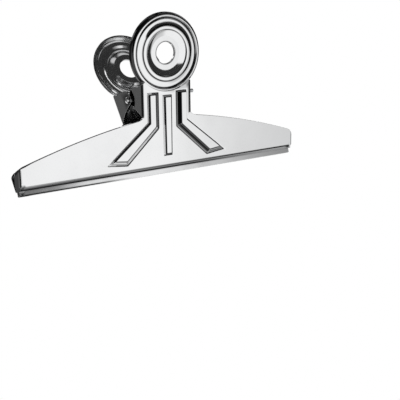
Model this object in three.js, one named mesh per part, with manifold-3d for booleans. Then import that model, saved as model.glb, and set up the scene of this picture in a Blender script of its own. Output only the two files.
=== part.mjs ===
// A letter clip with round thumb discs: two stamped and chromed steel leaves, a headed pin and a
// torsion spring. Millimetres. X runs along the jaw, +Z is up, and the front leaf faces -Y.
// The clip stands closed on the two lips of its jaw, with the origin under its middle.

import * as THREE from 'three';
import { mergeVertices } from 'three/addons/utils/BufferGeometryUtils.js';
import Module from 'manifold-3d';

const wasm = await Module();
wasm.setup();

// Driving dimensions of the sheet and of the way the two leaves stand
const jawLength = 125;
const sheet = 0.9;
const leanDegrees = 17.2;
const plateOffset = 2.76; // middle plane to the outer face of a leaf, at the foot of its plate
const runningGap = 0.3; // left between any two pieces that touch on the real clip

// The arched plate of a leaf, measured up the leaf from the foot of the plate
const archEndHeight = 6.1;
const archShoulderHeight = 18.3;
const archBulge = 1.25; // how far the arch rises over a straight line from end to shoulder
const plateCornerRadius = 3.6;
const endBendRadius = 1.4;
const endWallFall = 1.4; // the top edge of an end wall falls this much towards the middle plane
const endWallDrop = 1.4; // the end walls reach this far below the foot of the plate

// The stepped lip under the plate
const lipDrop = 3.2; // foot of the plate down to the bottom of the lip
const lipHeight = 2.1; // the upright part that grips
const stepBendRadius = 0.45;

// The neck and the flanges that are bent back from it
const neckWidth = 22.2;
const neckBendRadius = 1.1;
const neckFootFillet = 1.6;
const flangeRise = 1.0; // a flange starts this far above the shoulder of the arch
const flangeLap = 4.35; // and ends this far above the disc's lower edge

// The thumb disc
const discCentreHeight = 42.7;
const discRadius = 15.15;
const discHoleRadius = 4.05;
const dishRadius = 6.9;
const dishDepth = 0.9;
const ridgeRadius = 9.4;
const ridgeHeight = 0.9;
const flatInnerRadius = 11.2;
const flatHeight = 0.1;
const rollRadius = 13.9;
const rollHeight = 0.45;
const rimDepth = 1.9;
const rimStart = 1.05; // where the rolled edge has turned into the rim

// The stiffening ribs that are raised on the front of a leaf
const ribHeight = 1.15;
const ribSlope = 0.95; // how far each wall leans in over the rib's height
const sideRibLean = 0.7; // the tops of the side ribs lie this much further out than their feet
const ribCornerRadius = 0.7;
const ribLap = 0.35; // the side ribs end this far above the disc's lowest edge
const sideRibInner = 4.25; // inner edge of a side rib's upright part, from the middle
const sideRibWidth = 4.15;
const sideRibBendHeight = 14.6;
const sideRibFoot = 18.3; // inner corner of its foot, from the middle
const sideRibFootWidth = 7.6;
const sideRibFootHeight = 2;
const middleRibFootHeight = 4;
const middleRibDrop = 1.3; // its top lies this far under the tops of the side ribs
const middleRibWidth = 3.2;

// The hinge pin, from the foot of the plate up the leaf and back from the leaf's outer face
const pinHeight = 24.7;
const pinRadius = 0.95;
const pinHeadRadius = 1.35;
const pinHeadHeight = 1.1;
const earRadius = 2.05;
const earRise = 4.75; // the ear's top edge, over the pin
const earShoulder = 2.5; // where that edge starts to turn down, in front of the pin
const recessRadius = 4.7;

// The torsion spring
const wireRadius = 0.7;
const coilRadius = 2.3;
const coilPitch = 2.2;
const coilTurns = 5;
const hookHeight = 27.3; // the front arm's hole in the flange, up the leaf
const hookReach = 2.3; // how far the arm's end stands out of the flange
const backArmHeight = 30.3;
const armBendRadius = 1.3;

// Fineness of the round stretches
const arcSteps = 4;
const archSteps = 7;
const discSteps = 48;
const stepsPerTurn = 8;
const wireSides = 5;

// What follows from those sizes
const lean = THREE.MathUtils.degToRad(leanDegrees);
const halfJaw = jawLength / 2;
const halfNeck = neckWidth / 2;
// the pin lies on the middle plane, so its depth behind a leaf's outer face follows from its height
const pinDepth = (plateOffset + pinHeight * Math.sin(lean)) / Math.cos(lean);
const pinZ = lipDrop + pinHeight * Math.cos(lean) + pinDepth * Math.sin(lean);
const flangeFoot = archShoulderHeight + flangeRise;
const flangeTop = discCentreHeight - discRadius + flangeLap;
const sideRibTop = discCentreHeight - discRadius + ribLap;
const holeRadius = pinRadius + runningGap;
const nestedFace = halfNeck - sheet - runningGap; // outer face of the ear that lies inside the other

const steel = { color: 0xc9cbce, roughness: 0.16, metalness: 1 };
const steelMaterial = () => new THREE.MeshStandardMaterial(steel);
const springMaterial = () => new THREE.MeshStandardMaterial({ color: 0x9a9ca0, roughness: 0.3, metalness: 1 });

// Turns a closed geometry into a solid that can be cut and joined.
function solidOf(geometry) {
  geometry.deleteAttribute('normal');
  geometry.deleteAttribute('uv');
  const merged = mergeVertices(geometry, 1e-4);
  return new wasm.Manifold(new wasm.Mesh({
    numProp: 3,
    vertProperties: Float32Array.from(merged.attributes.position.array),
    triVerts: Uint32Array.from(merged.index.array),
  }));
}

function geometryOf(solid) {
  const mesh = solid.getMesh();
  const geometry = new THREE.BufferGeometry();
  geometry.setAttribute('position', new THREE.BufferAttribute(mesh.vertProperties, 3));
  geometry.setIndex(new THREE.BufferAttribute(mesh.triVerts, 1));
  geometry.computeVertexNormals();
  return geometry;
}

// Rounds the corners of a line. Each corner is [x, y, radius], and a radius of 0 stays sharp.
function roundedPoints(corners, closed) {
  const points = [];
  corners.forEach(([x, y, radius], i) => {
    const corner = new THREE.Vector2(x, y);
    const isEnd = !closed && (i === 0 || i === corners.length - 1);
    if (isEnd || !radius) {
      points.push(corner);
      return;
    }
    const before = corners[(i + corners.length - 1) % corners.length];
    const after = corners[(i + 1) % corners.length];
    const toBefore = new THREE.Vector2(before[0] - x, before[1] - y);
    const toAfter = new THREE.Vector2(after[0] - x, after[1] - y);
    const room = 0.49 * Math.min(toBefore.length(), toAfter.length());
    toBefore.normalize();
    toAfter.normalize();
    const halfAngle = Math.acos(THREE.MathUtils.clamp(toBefore.dot(toAfter), -1, 1)) / 2;
    const cut = Math.min(radius / Math.tan(halfAngle), room);
    const usedRadius = cut * Math.tan(halfAngle);
    const centre = toBefore.clone().add(toAfter).normalize().multiplyScalar(usedRadius / Math.sin(halfAngle)).add(corner);
    const start = corner.clone().addScaledVector(toBefore, cut).sub(centre);
    const end = corner.clone().addScaledVector(toAfter, cut).sub(centre);
    let sweep = end.angle() - start.angle();
    if (sweep > Math.PI) sweep -= 2 * Math.PI;
    if (sweep < -Math.PI) sweep += 2 * Math.PI;
    for (let k = 0; k <= arcSteps; k += 1) {
      points.push(start.clone().rotateAround(new THREE.Vector2(), (sweep * k) / arcSteps).add(centre));
    }
  });
  return points;
}

// The outline of a strip of sheet whose middle line has rounded bends.
function stripShape(corners, thickness) {
  const middle = roundedPoints(corners, false);
  const left = [];
  const right = [];
  middle.forEach((point, i) => {
    const along = new THREE.Vector2();
    if (i > 0) along.add(point.clone().sub(middle[i - 1]).normalize());
    if (i < middle.length - 1) along.add(middle[i + 1].clone().sub(point).normalize());
    const bothSides = i > 0 && i < middle.length - 1;
    const miter = bothSides ? along.length() / 2 : 1;
    along.normalize();
    const across = new THREE.Vector2(-along.y, along.x).multiplyScalar(thickness / 2 / miter);
    left.push(point.clone().add(across));
    right.push(point.clone().sub(across));
  });
  return new THREE.Shape([...left, ...right.reverse()]);
}

// A prism of a shape drawn in one of the leaf's planes, from one distance to another.
const frontPlane = new THREE.Matrix4();
const sidePlane = new THREE.Matrix4().makeBasis(
  new THREE.Vector3(0, 0, -1), new THREE.Vector3(0, 1, 0), new THREE.Vector3(1, 0, 0));
const topPlane = new THREE.Matrix4().makeBasis(
  new THREE.Vector3(1, 0, 0), new THREE.Vector3(0, 0, 1), new THREE.Vector3(0, -1, 0));

function prism(shape, plane, from, to, options = {}) {
  const geometry = new THREE.ExtrudeGeometry(shape, {
    depth: to - from, bevelEnabled: false, curveSegments: arcSteps * 2, ...options,
  });
  geometry.translate(0, 0, from);
  geometry.applyMatrix4(plane);
  return solidOf(geometry);
}

function box(x, y, z) {
  const geometry = new THREE.BoxGeometry(x[1] - x[0], y[1] - y[0], z[1] - z[0]);
  geometry.translate((x[0] + x[1]) / 2, (y[0] + y[1]) / 2, (z[0] + z[1]) / 2);
  return solidOf(geometry);
}

// A round bar through both flanges, along X, at a place given by height and depth
function crossBar(radius, height, depth, from, to, sides = 24) {
  const geometry = new THREE.CylinderGeometry(radius, radius, to - from, sides);
  geometry.rotateZ(Math.PI / 2);
  geometry.translate((from + to) / 2, height, -depth);
  return solidOf(geometry);
}

// A point given by its distance out from the middle plane and its height over the lips,
// as depth behind the leaf's outer face and height up the leaf
function uprightToLeaf(out, up, radius = 0) {
  const q = out - plateOffset;
  const h = up - lipDrop;
  const height = q * Math.sin(lean) + h * Math.cos(lean);
  const depth = h * Math.sin(lean) - q * Math.cos(lean);
  return [depth, height, radius];
}

// Height of the arch at a distance from the middle: a circle through end, bulge and shoulder
function archHeight(x) {
  const run = halfJaw - halfNeck;
  const rise = archShoulderHeight - archEndHeight;
  const chord = Math.hypot(run, rise);
  const radius = (chord * chord / 4 + archBulge * archBulge) / (2 * archBulge);
  const depthOfCentre = radius - archBulge;
  const centreX = (halfJaw + halfNeck) / 2 - (rise / chord) * depthOfCentre;
  const centreY = (archEndHeight + archShoulderHeight) / 2 - (run / chord) * depthOfCentre;
  return centreY + Math.sqrt(radius * radius - (x - centreX) ** 2);
}

// The front outline of plate and neck, which trims the bent sheet
function frontOutline() {
  const floor = -lipDrop - sheet;
  const right = [[halfJaw, floor, 0]];
  for (let i = 0; i <= archSteps; i += 1) {
    const x = halfJaw + ((halfNeck - halfJaw) * i) / archSteps;
    const radius = i === 0 ? plateCornerRadius : (i === archSteps ? neckFootFillet : 0);
    right.push([x, archHeight(x), radius]);
  }
  right.push([halfNeck, flangeTop + sheet, 0]);
  const left = right.map(([x, y, radius]) => [-x, y, radius]).reverse();
  return new THREE.Shape(roundedPoints([...right, ...left], true));
}

// The jaw: the plate with its two end walls, bent back to the middle plane
function jawSheet() {
  const wallDepth = pinDepth;
  const middle = sheet / 2;
  const channel = stripShape([
    [-(halfJaw - middle), -wallDepth, 0],
    [-(halfJaw - middle), -middle, endBendRadius - middle],
    [halfJaw - middle, -middle, endBendRadius - middle],
    [halfJaw - middle, -wallDepth, 0],
  ], sheet);
  const top = archShoulderHeight + neckFootFillet + sheet;
  const whole = prism(channel, topPlane, -top, lipDrop)
    .intersect(prism(frontOutline(), frontPlane, -2 * wallDepth, sheet));
  // the end walls stop at the middle plane and at their own lower edge
  const wallFoot = lipDrop - endWallDrop;
  const wallSide = new THREE.Shape(roundedPoints([
    [-sheet, 0, 0],
    [0, 0, 0],
    uprightToLeaf(plateOffset - endBendRadius + 0.1, wallFoot, 0.4),
    uprightToLeaf(runningGap / 2, wallFoot, 0.5),
    uprightToLeaf(runningGap / 2, wallFoot + archEndHeight + endWallDrop),
    uprightToLeaf(plateOffset + sheet, wallFoot + archShoulderHeight + lipDrop + endWallDrop),
    [-sheet, archShoulderHeight + lipDrop, 0],
  ], true));
  const flatEnd = halfJaw - endBendRadius;
  const underPlate = box([-flatEnd, flatEnd], [-lipDrop - sheet, 0], [-lipDrop - sheet, sheet]);
  // their top edges fall from the bend towards the middle plane
  const wallTop = archHeight(halfJaw) - plateCornerRadius * 0.7;
  const [reach, over] = [wallDepth * 0.45, archShoulderHeight];
  const aboveWall = new THREE.Shape(roundedPoints([
    [endBendRadius, wallTop, 0],
    [plateOffset, wallTop - endWallFall * 0.3, 1.2],
    [reach, wallTop - endWallFall, 0],
    [reach, over, 0],
    [endBendRadius, over, 0],
  ], true));
  let jaw = whole.intersect(prism(wallSide, sidePlane, -halfJaw - 1, halfJaw + 1)).subtract(underPlate);
  [-1, 1].forEach((side) => {
    const ends = [side * (halfJaw - sheet * 1.1), side * (halfJaw + sheet)].sort((p, q) => p - q);
    jaw = jaw.subtract(prism(aboveWall, sidePlane, ends[0], ends[1]));
  });
  return jaw;
}

// The step under the plate and the upright lip, one bent strip along the jaw
function lipStrip() {
  const middle = sheet / 2;
  const bend = stepBendRadius + middle;
  const plateMiddle = (height) => [middle, height, 0];
  const [footDepth, footHeight] = plateMiddle(sheet * 0.35);
  const profile = stripShape([
    plateMiddle(2 * sheet),
    [footDepth, footHeight, bend],
    uprightToLeaf(runningGap / 2 + middle, lipHeight + middle * 0.55, bend),
    uprightToLeaf(runningGap / 2 + middle, 0),
  ], sheet);
  const halfLip = halfJaw - sheet + 0.1;
  return prism(profile, sidePlane, -halfLip, halfLip);
}

// One flange's outline, seen from the side: its root at the neck, the ear round the pin
function flangeShape() {
  const shape = new THREE.Shape();
  const noseAngle = THREE.MathUtils.degToRad(25);
  const earTop = pinHeight + earRise;
  const earFoot = pinHeight - earRadius;
  shape.moveTo(-sheet, flangeTop + 0.5);
  shape.lineTo(sheet, flangeTop - 0.4);
  shape.quadraticCurveTo(pinDepth * 0.3, earTop + 0.75, pinDepth - earShoulder, earTop);
  shape.quadraticCurveTo(
    pinDepth + earRadius * 0.72, earTop - 0.5,
    pinDepth + earRadius * Math.cos(noseAngle), pinHeight + earRadius * Math.sin(noseAngle));
  shape.absarc(pinDepth, pinHeight, earRadius, noseAngle, -Math.PI / 2, true);
  shape.quadraticCurveTo(pinDepth * 0.4, earFoot - 0.75, sheet, flangeFoot);
  shape.lineTo(-sheet, flangeFoot - 0.6);
  return shape;
}

// The neck with its two flanges. Seen from the front, the right flange is plain and lies outside,
// and the left one is pressed inwards round the pin, so that the other leaf's plain ear lies in it.
function neckSheet() {
  const middle = sheet / 2;
  const depth = pinDepth + recessRadius + 2 * sheet;
  const channel = stripShape([
    [-(halfNeck - middle), -depth, 0],
    [-(halfNeck - middle), -middle, neckBendRadius - middle],
    [halfNeck - middle, -middle, neckBendRadius - middle],
    [halfNeck - middle, -depth, 0],
  ], sheet);
  const bent = prism(channel, topPlane, -(flangeTop + sheet), -(flangeFoot - 2 * sheet));
  const web = box([-halfNeck, halfNeck], [0, 2 * flangeTop], [-sheet, sheet]);
  const flanges = prism(flangeShape(), sidePlane, -halfNeck - 1, halfNeck + 1);
  let neck = bent.intersect(web.add(flanges));

  // the pressed place of the left flange: cut round the pin, walled, and floored one step inwards
  const left = [-halfNeck - 1, -nestedFace];
  neck = neck.subtract(crossBar(recessRadius, pinHeight, pinDepth, left[0], left[1], 32));
  const dishWall = crossBar(recessRadius + sheet, pinHeight, pinDepth, -halfNeck, -(nestedFace - sheet), 32)
    .subtract(crossBar(recessRadius, pinHeight, pinDepth, -halfNeck - 1, -nestedFace, 32));
  const wallZone = prism(flangeShape(), sidePlane, -halfNeck, -(nestedFace - sheet));
  return neck.add(dishWall.intersect(wallZone));
}

// The thumb disc: a turned section with its dish, ridge, rolled edge and turned-back rim
function discSheet() {
  const face = new THREE.SplineCurve([
    new THREE.Vector2(dishRadius, -dishDepth),
    new THREE.Vector2(dishRadius + 1.1, -dishDepth * 0.45),
    new THREE.Vector2((dishRadius + ridgeRadius) / 2 + 0.5, ridgeHeight * 0.7),
    new THREE.Vector2(ridgeRadius, ridgeHeight),
    new THREE.Vector2((ridgeRadius + flatInnerRadius) / 2, ridgeHeight * 0.55),
    new THREE.Vector2(flatInnerRadius, flatHeight),
    new THREE.Vector2(flatInnerRadius + 1.1, flatHeight),
  ]).getPoints(12);
  const roll = new THREE.SplineCurve([
    new THREE.Vector2(rollRadius - 0.7, rollHeight * 0.7),
    new THREE.Vector2(rollRadius, rollHeight),
    new THREE.Vector2(discRadius - 0.6, 0),
    new THREE.Vector2(discRadius - 0.25, -rimStart * 0.45),
    new THREE.Vector2(discRadius, -rimStart),
  ]).getPoints(7);
  const outer = [new THREE.Vector2(discHoleRadius, -dishDepth), ...face, ...roll, new THREE.Vector2(discRadius, -rimDepth)];
  const inner = outer.map((point, i) => {
    const before = outer[Math.max(i - 1, 0)];
    const after = outer[Math.min(i + 1, outer.length - 1)];
    const along = after.clone().sub(before).normalize();
    return new THREE.Vector2(point.x + along.y * sheet, point.y - along.x * sheet);
  });
  inner[0].x = discHoleRadius;
  inner[inner.length - 1].y = -rimDepth;
  const ring = [...outer, ...inner.reverse()].reverse();
  const geometry = new THREE.LatheGeometry([...ring, ring[0]], discSteps);
  geometry.rotateX(Math.PI / 2);
  geometry.translate(0, discCentreHeight, 0);
  return solidOf(geometry);
}

// The ribs, as outlines on the front of the leaf, each with how far its top leans aside
function ribOutlines() {
  const outer = sideRibInner + sideRibWidth;
  const leg = [
    [sideRibFoot + sideRibFootWidth, sideRibFootHeight + sheet], [sideRibFoot, sideRibFootHeight],
    [sideRibInner, sideRibBendHeight], [sideRibInner, sideRibTop],
    [outer, sideRibTop], [outer, sideRibBendHeight + sideRibWidth * 0.54],
  ];
  const right = leg.map(([x, y]) => [x, y, ribCornerRadius]);
  const left = leg.map(([x, y]) => [-x, y, ribCornerRadius]).reverse();
  const half = middleRibWidth / 2;
  const top = sideRibTop - middleRibDrop;
  const middle = [
    [-half, middleRibFootHeight, half * 0.9], [half, middleRibFootHeight, half * 0.9],
    [half * 0.85, top, half * 0.8], [-half * 0.85, top, half * 0.8],
  ];
  return [[left, -sideRibLean], [middle, 0], [right, sideRibLean]];
}

// The corners of an outline moved inwards by a distance, so that an inset keeps as many points.
function insetCorners(corners, distance) {
  const area = THREE.ShapeUtils.area(corners.map(([x, y]) => new THREE.Vector2(x, y)));
  const turn = Math.sign(area);
  return corners.map(([x, y, radius], i) => {
    const before = corners[(i + corners.length - 1) % corners.length];
    const after = corners[(i + 1) % corners.length];
    const into = new THREE.Vector2(x - before[0], y - before[1]).normalize();
    const out = new THREE.Vector2(after[0] - x, after[1] - y).normalize();
    const normalInto = new THREE.Vector2(-into.y, into.x).multiplyScalar(turn);
    const normalOut = new THREE.Vector2(-out.y, out.x).multiplyScalar(turn);
    const middle = normalInto.clone().add(normalOut).normalize();
    const reach = distance / middle.dot(normalOut);
    const convex = into.cross(out) * turn > 0;
    const newRadius = Math.max(radius + (convex ? -distance : distance), 0.08);
    return [x + middle.x * reach, y + middle.y * reach, newRadius];
  });
}

// A closed body through several levels of one outline, lowest first. A level is [inset, z, shift].
function levelBody(corners, levels) {
  const rings = levels.map(([inset, , [aside, up] = [0, 0]]) => (
    roundedPoints(insetCorners(corners, inset), true).map((point) => point.add(new THREE.Vector2(aside, up)))));
  const count = rings[0].length;
  const positions = [];
  rings.forEach((ring, i) => ring.forEach((point) => positions.push(point.x, point.y, levels[i][1])));
  const upwards = THREE.ShapeUtils.area(rings[0]) > 0;
  const indices = [];
  const face = (a, b, c) => indices.push(...(upwards ? [a, b, c] : [a, c, b]));
  for (let i = 0; i < rings.length - 1; i += 1) {
    for (let k = 0; k < count; k += 1) {
      const next = (k + 1) % count;
      face(i * count + k, i * count + next, (i + 1) * count + next);
      face(i * count + k, (i + 1) * count + next, (i + 1) * count + k);
    }
  }
  const top = (rings.length - 1) * count;
  THREE.ShapeUtils.triangulateShape(rings[0], []).forEach(([a, b, c]) => indices.push(a, c, b));
  THREE.ShapeUtils.triangulateShape(rings[rings.length - 1], [])
    .forEach(([a, b, c]) => indices.push(top + a, top + b, top + c));
  const geometry = new THREE.BufferGeometry();
  geometry.setAttribute('position', new THREE.Float32BufferAttribute(positions, 3));
  geometry.setIndex(indices);
  return solidOf(geometry);
}

// A rib is the sheet pressed outwards, so it has a raised top and a hollow behind it.
function ribSolid(corners, leanOut) {
  const shift = (share) => [leanOut * share, Math.abs(leanOut) * share * 0.7];
  return levelBody(corners, [
    [0, -sheet / 2], [0, 0], [ribSlope * 0.6, ribHeight * 0.8, shift(0.7)], [ribSlope, ribHeight, shift(1)],
  ]);
}

function ribHollow(corners) {
  const inset = sheet * 0.95;
  return levelBody(corners, [[inset, -2 * sheet], [inset, ribHeight - sheet]]);
}

function makeLeaf(hasSpringHole) {
  const inside = halfNeck - sheet;
  const nearDisc = box([-inside, inside], [0, discCentreHeight - ridgeRadius], [-2 * rimDepth, -sheet]);
  const disc = discSheet().subtract(nearDisc);
  const discRoom = new THREE.Shape().absarc(0, discCentreHeight, discRadius - sheet * 0.7, 0, 2 * Math.PI, false);
  const neck = neckSheet().subtract(prism(discRoom, frontPlane, -sheet * 1.5, 2 * sheet));
  let leaf = jawSheet().add(lipStrip()).add(neck).add(disc);
  const ribs = ribOutlines();
  ribs.forEach(([corners, leanOut]) => { leaf = leaf.add(ribSolid(corners, leanOut)); });
  ribs.forEach(([corners]) => { leaf = leaf.subtract(ribHollow(corners)); });
  leaf = leaf.subtract(crossBar(holeRadius, pinHeight, pinDepth, -2 * halfNeck, 2 * halfNeck, 16));
  if (hasSpringHole) {
    const hookDepth = sheet + runningGap + wireRadius;
    const hole = crossBar(
      wireRadius + runningGap, hookHeight, hookDepth, halfNeck - 2 * sheet, 2 * halfNeck, 12);
    leaf = leaf.subtract(hole);
  }
  return geometryOf(leaf);
}

// The pin: a plain shaft with a domed head at each end, outside the ears
function makePin() {
  const shoulder = halfNeck + runningGap;
  const end = shoulder + pinHeadHeight;
  const half = [
    new THREE.Vector2(0, -end),
    new THREE.Vector2(pinHeadRadius * 0.5, -(end - 0.1)),
    new THREE.Vector2(pinHeadRadius * 0.87, -(end - 0.42)),
    new THREE.Vector2(pinHeadRadius, -(shoulder + 0.15)),
    new THREE.Vector2(pinHeadRadius, -shoulder),
    new THREE.Vector2(pinRadius, -shoulder),
  ];
  const mirrored = half.map((point) => new THREE.Vector2(point.x, -point.y)).reverse();
  const geometry = new THREE.LatheGeometry([...half, ...mirrored], 20);
  geometry.rotateZ(-Math.PI / 2);
  return geometryOf(solidOf(geometry));
}

// The middle line of the spring's wire, with the pin's axis as its origin: the back arm, the coil,
// and the front arm, whose end turns outwards through the front leaf's right flange
function wirePath() {
  const wall = sheet + runningGap + wireRadius;
  const onLeaf = (height, side) => new THREE.Vector3(
    0,
    side * (plateOffset + height * Math.sin(lean) - wall * Math.cos(lean)),
    lipDrop + height * Math.cos(lean) + wall * Math.sin(lean) - pinZ);
  const backTip = onLeaf(backArmHeight, 1);
  const hook = onLeaf(hookHeight, -1);
  // the angle at which a straight arm to a point leaves the bottom of the coil
  const leaving = (point, turn) => {
    const distance = Math.hypot(point.y, point.z);
    return Math.atan2(point.z, point.y) + turn * Math.acos(coilRadius / distance);
  };
  const startAngle = leaving(backTip, -1);
  let endAngle = leaving(hook, 1);
  while (endAngle > startAngle) endAngle -= 2 * Math.PI;
  endAngle -= 2 * Math.PI * (coilTurns - (startAngle - endAngle > Math.PI ? 1 : 0));
  const halfLength = (coilPitch * (startAngle - endAngle)) / (4 * Math.PI);

  const points = [new THREE.Vector3(-halfLength, backTip.y, backTip.z)];
  const coilSteps = Math.round((stepsPerTurn * (startAngle - endAngle)) / (2 * Math.PI));
  for (let i = 0; i <= coilSteps; i += 1) {
    const share = i / coilSteps;
    const angle = startAngle + (endAngle - startAngle) * share;
    points.push(new THREE.Vector3(
      halfLength * (2 * share - 1), coilRadius * Math.cos(angle), coilRadius * Math.sin(angle)));
  }
  // the front arm runs straight to its bend, then sideways out through the flange
  const last = points[points.length - 1];
  const corner = new THREE.Vector3(halfLength, hook.y, hook.z);
  const along = corner.clone().sub(last).normalize();
  for (let i = 0; i <= arcSteps; i += 1) {
    const angle = (Math.PI / 2) * (i / arcSteps);
    points.push(corner.clone()
      .addScaledVector(along, -armBendRadius * (1 - Math.sin(angle)))
      .add(new THREE.Vector3(armBendRadius * (1 - Math.cos(angle)), 0, 0)));
  }
  points.push(new THREE.Vector3(halfNeck + hookReach, hook.y, hook.z));
  return points;
}

// A round wire along a line of points, as one closed tube of rings
function wireGeometry(points, radius, sides) {
  const positions = [];
  const indices = [];
  const tangentAt = (i) => {
    const tangent = new THREE.Vector3();
    if (i > 0) tangent.add(points[i].clone().sub(points[i - 1]).normalize());
    if (i < points.length - 1) tangent.add(points[i + 1].clone().sub(points[i]).normalize());
    return tangent.normalize();
  };
  let side = new THREE.Vector3(1, 0, 0);
  points.forEach((point, i) => {
    const tangent = tangentAt(i);
    side = side.addScaledVector(tangent, -side.dot(tangent)).normalize();
    const other = tangent.clone().cross(side);
    for (let k = 0; k < sides; k += 1) {
      const angle = (2 * Math.PI * k) / sides;
      const corner = point.clone()
        .addScaledVector(side, radius * Math.cos(angle))
        .addScaledVector(other, radius * Math.sin(angle));
      positions.push(corner.x, corner.y, corner.z);
    }
  });
  for (let i = 0; i < points.length - 1; i += 1) {
    for (let k = 0; k < sides; k += 1) {
      const a = i * sides + k;
      const b = i * sides + ((k + 1) % sides);
      indices.push(a, b, b + sides, a, b + sides, a + sides);
    }
  }
  const last = (points.length - 1) * sides;
  for (let k = 1; k < sides - 1; k += 1) {
    indices.push(0, k + 1, k);
    indices.push(last, last + k, last + k + 1);
  }
  const geometry = new THREE.BufferGeometry();
  geometry.setAttribute('position', new THREE.Float32BufferAttribute(positions, 3));
  geometry.setIndex(indices);
  geometry.computeVertexNormals();
  return geometry;
}

// The least free distance between stretches of the wire that aren't neighbours along it
function leastGap(points, radius) {
  const fine = [];
  const travelled = [];
  let length = 0;
  const stepsBetween = 4;
  for (let i = 0; i < points.length - 1; i += 1) {
    const span = points[i].distanceTo(points[i + 1]);
    for (let k = 0; k < stepsBetween; k += 1) {
      fine.push(points[i].clone().lerp(points[i + 1], k / stepsBetween));
      travelled.push(length + (span * k) / stepsBetween);
    }
    length += span;
  }
  const apart = Math.PI * coilRadius;
  let least = Infinity;
  for (let i = 0; i < fine.length; i += 1) {
    for (let j = i + 1; j < fine.length; j += 1) {
      if (travelled[j] - travelled[i] > apart) least = Math.min(least, fine[i].distanceTo(fine[j]));
    }
  }
  return least - 2 * radius;
}

function named(name, geometry, material) {
  const mesh = new THREE.Mesh(geometry, material);
  mesh.name = name;
  return mesh;
}

// A leaf is drawn lying flat, x along the jaw and y up the leaf, and is then stood up and leant.
function placed(leaf) {
  const stand = new THREE.Group();
  leaf.rotation.x = Math.PI / 2 + lean;
  leaf.position.set(0, -plateOffset, lipDrop);
  stand.add(leaf);
  return stand;
}

const clip = new THREE.Group();
clip.add(placed(named('front_leaf', makeLeaf(true), steelMaterial())));

const backStand = placed(named('back_leaf', makeLeaf(false), steelMaterial()));
backStand.rotation.z = Math.PI;
clip.add(backStand);

const pin = named('hinge_pin', makePin(), steelMaterial());
pin.position.set(0, 0, pinZ);
clip.add(pin);

const wire = wirePath();
const spring = named('torsion_spring', wireGeometry(wire, wireRadius, wireSides), springMaterial());
spring.position.set(0, 0, pinZ);
clip.add(spring);
console.log(`least gap of the spring to itself: ${leastGap(wire, wireRadius).toFixed(2)} mm`);

export default clip;
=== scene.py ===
import math

import bpy
import numpy as np
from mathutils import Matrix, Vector
from mathutils.geometry import delaunay_2d_cdt


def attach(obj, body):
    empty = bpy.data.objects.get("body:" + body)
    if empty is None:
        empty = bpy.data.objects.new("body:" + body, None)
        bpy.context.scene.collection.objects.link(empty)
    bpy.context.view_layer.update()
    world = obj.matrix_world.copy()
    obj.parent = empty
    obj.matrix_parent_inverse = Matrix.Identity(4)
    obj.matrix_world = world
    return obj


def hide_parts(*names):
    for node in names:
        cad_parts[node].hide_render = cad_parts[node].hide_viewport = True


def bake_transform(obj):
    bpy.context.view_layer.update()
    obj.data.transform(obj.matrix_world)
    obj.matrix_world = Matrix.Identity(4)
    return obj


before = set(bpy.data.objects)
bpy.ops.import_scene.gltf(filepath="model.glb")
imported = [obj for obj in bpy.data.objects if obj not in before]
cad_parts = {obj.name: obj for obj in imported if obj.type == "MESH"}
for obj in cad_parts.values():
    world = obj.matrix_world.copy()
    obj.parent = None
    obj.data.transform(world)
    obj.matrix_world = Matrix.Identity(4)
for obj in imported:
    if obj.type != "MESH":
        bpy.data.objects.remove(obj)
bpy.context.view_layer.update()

# The two leaves. Each is one blank of 0.9 mm steel sheet: cut out, pressed with the rings of its thumb
# disc and three stiffening ribs, folded into end walls, a stepped lip and two eared flanges, and
# plated with nickel and chrome. The back leaf is like the front one, turned half round.

# sizes are in millimetres, and a place on a leaf is given from the middle of its plate's foot
sheet = 0.9
lean = math.radians(17.2)
plate_offset = 2.76
lip_drop = 3.2
running_gap = 0.3
edge_round = 0.12

# the plate, whose top edge is an arch, and whose ends are rolled back: wide at the clip's left end
half_jaw = 63.0
arch_end_height = 6.1
shoulder_height = 18.3
arch_bulge = 1.25
back_drop = 0.45
wide_roll = 4.0
tight_roll = 1.4
wide_flat = half_jaw - wide_roll
arch_end = half_jaw - 6
shoulder_run = 2.6

# the thumb disc, with a ring-shaped crest and a rolled edge
disc_height = 42.7
disc_radius = 15.15
hole_radius = 4.05
crest_radius = 13.75
crest_height = 0.45
rim_depth = 1.9
rim_blank = 1.75
past_disc = 20

# the neck, whose sides are folded back into flanges, which end in ears round the pin
half_neck = 11.1
neck_bend = 1.1
flat_neck = half_neck - neck_bend
flange_foot = shoulder_height + 1.0
flange_top = disc_height - disc_radius + 4.35
notch_height = flange_top + 0.25
notch_angle = math.atan2(flat_neck, disc_height - notch_height)
pin_height = 24.7
pin_depth = (plate_offset + pin_height * math.sin(lean)) / math.cos(lean)
pin_level = lip_drop + pin_height * math.cos(lean) + pin_depth * math.sin(lean)
ear_radius = 2.05
pin_hole = 1.25
recess_reach = 5.0
recess_depth = sheet + running_gap
hook_height = 27.3
hook_depth = sheet + running_gap + 0.7
hook_hole = 1.0


def smooth(share):
    share = np.clip(share, 0.0, 1.0)
    return share * share * (3 - 2 * share)


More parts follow.
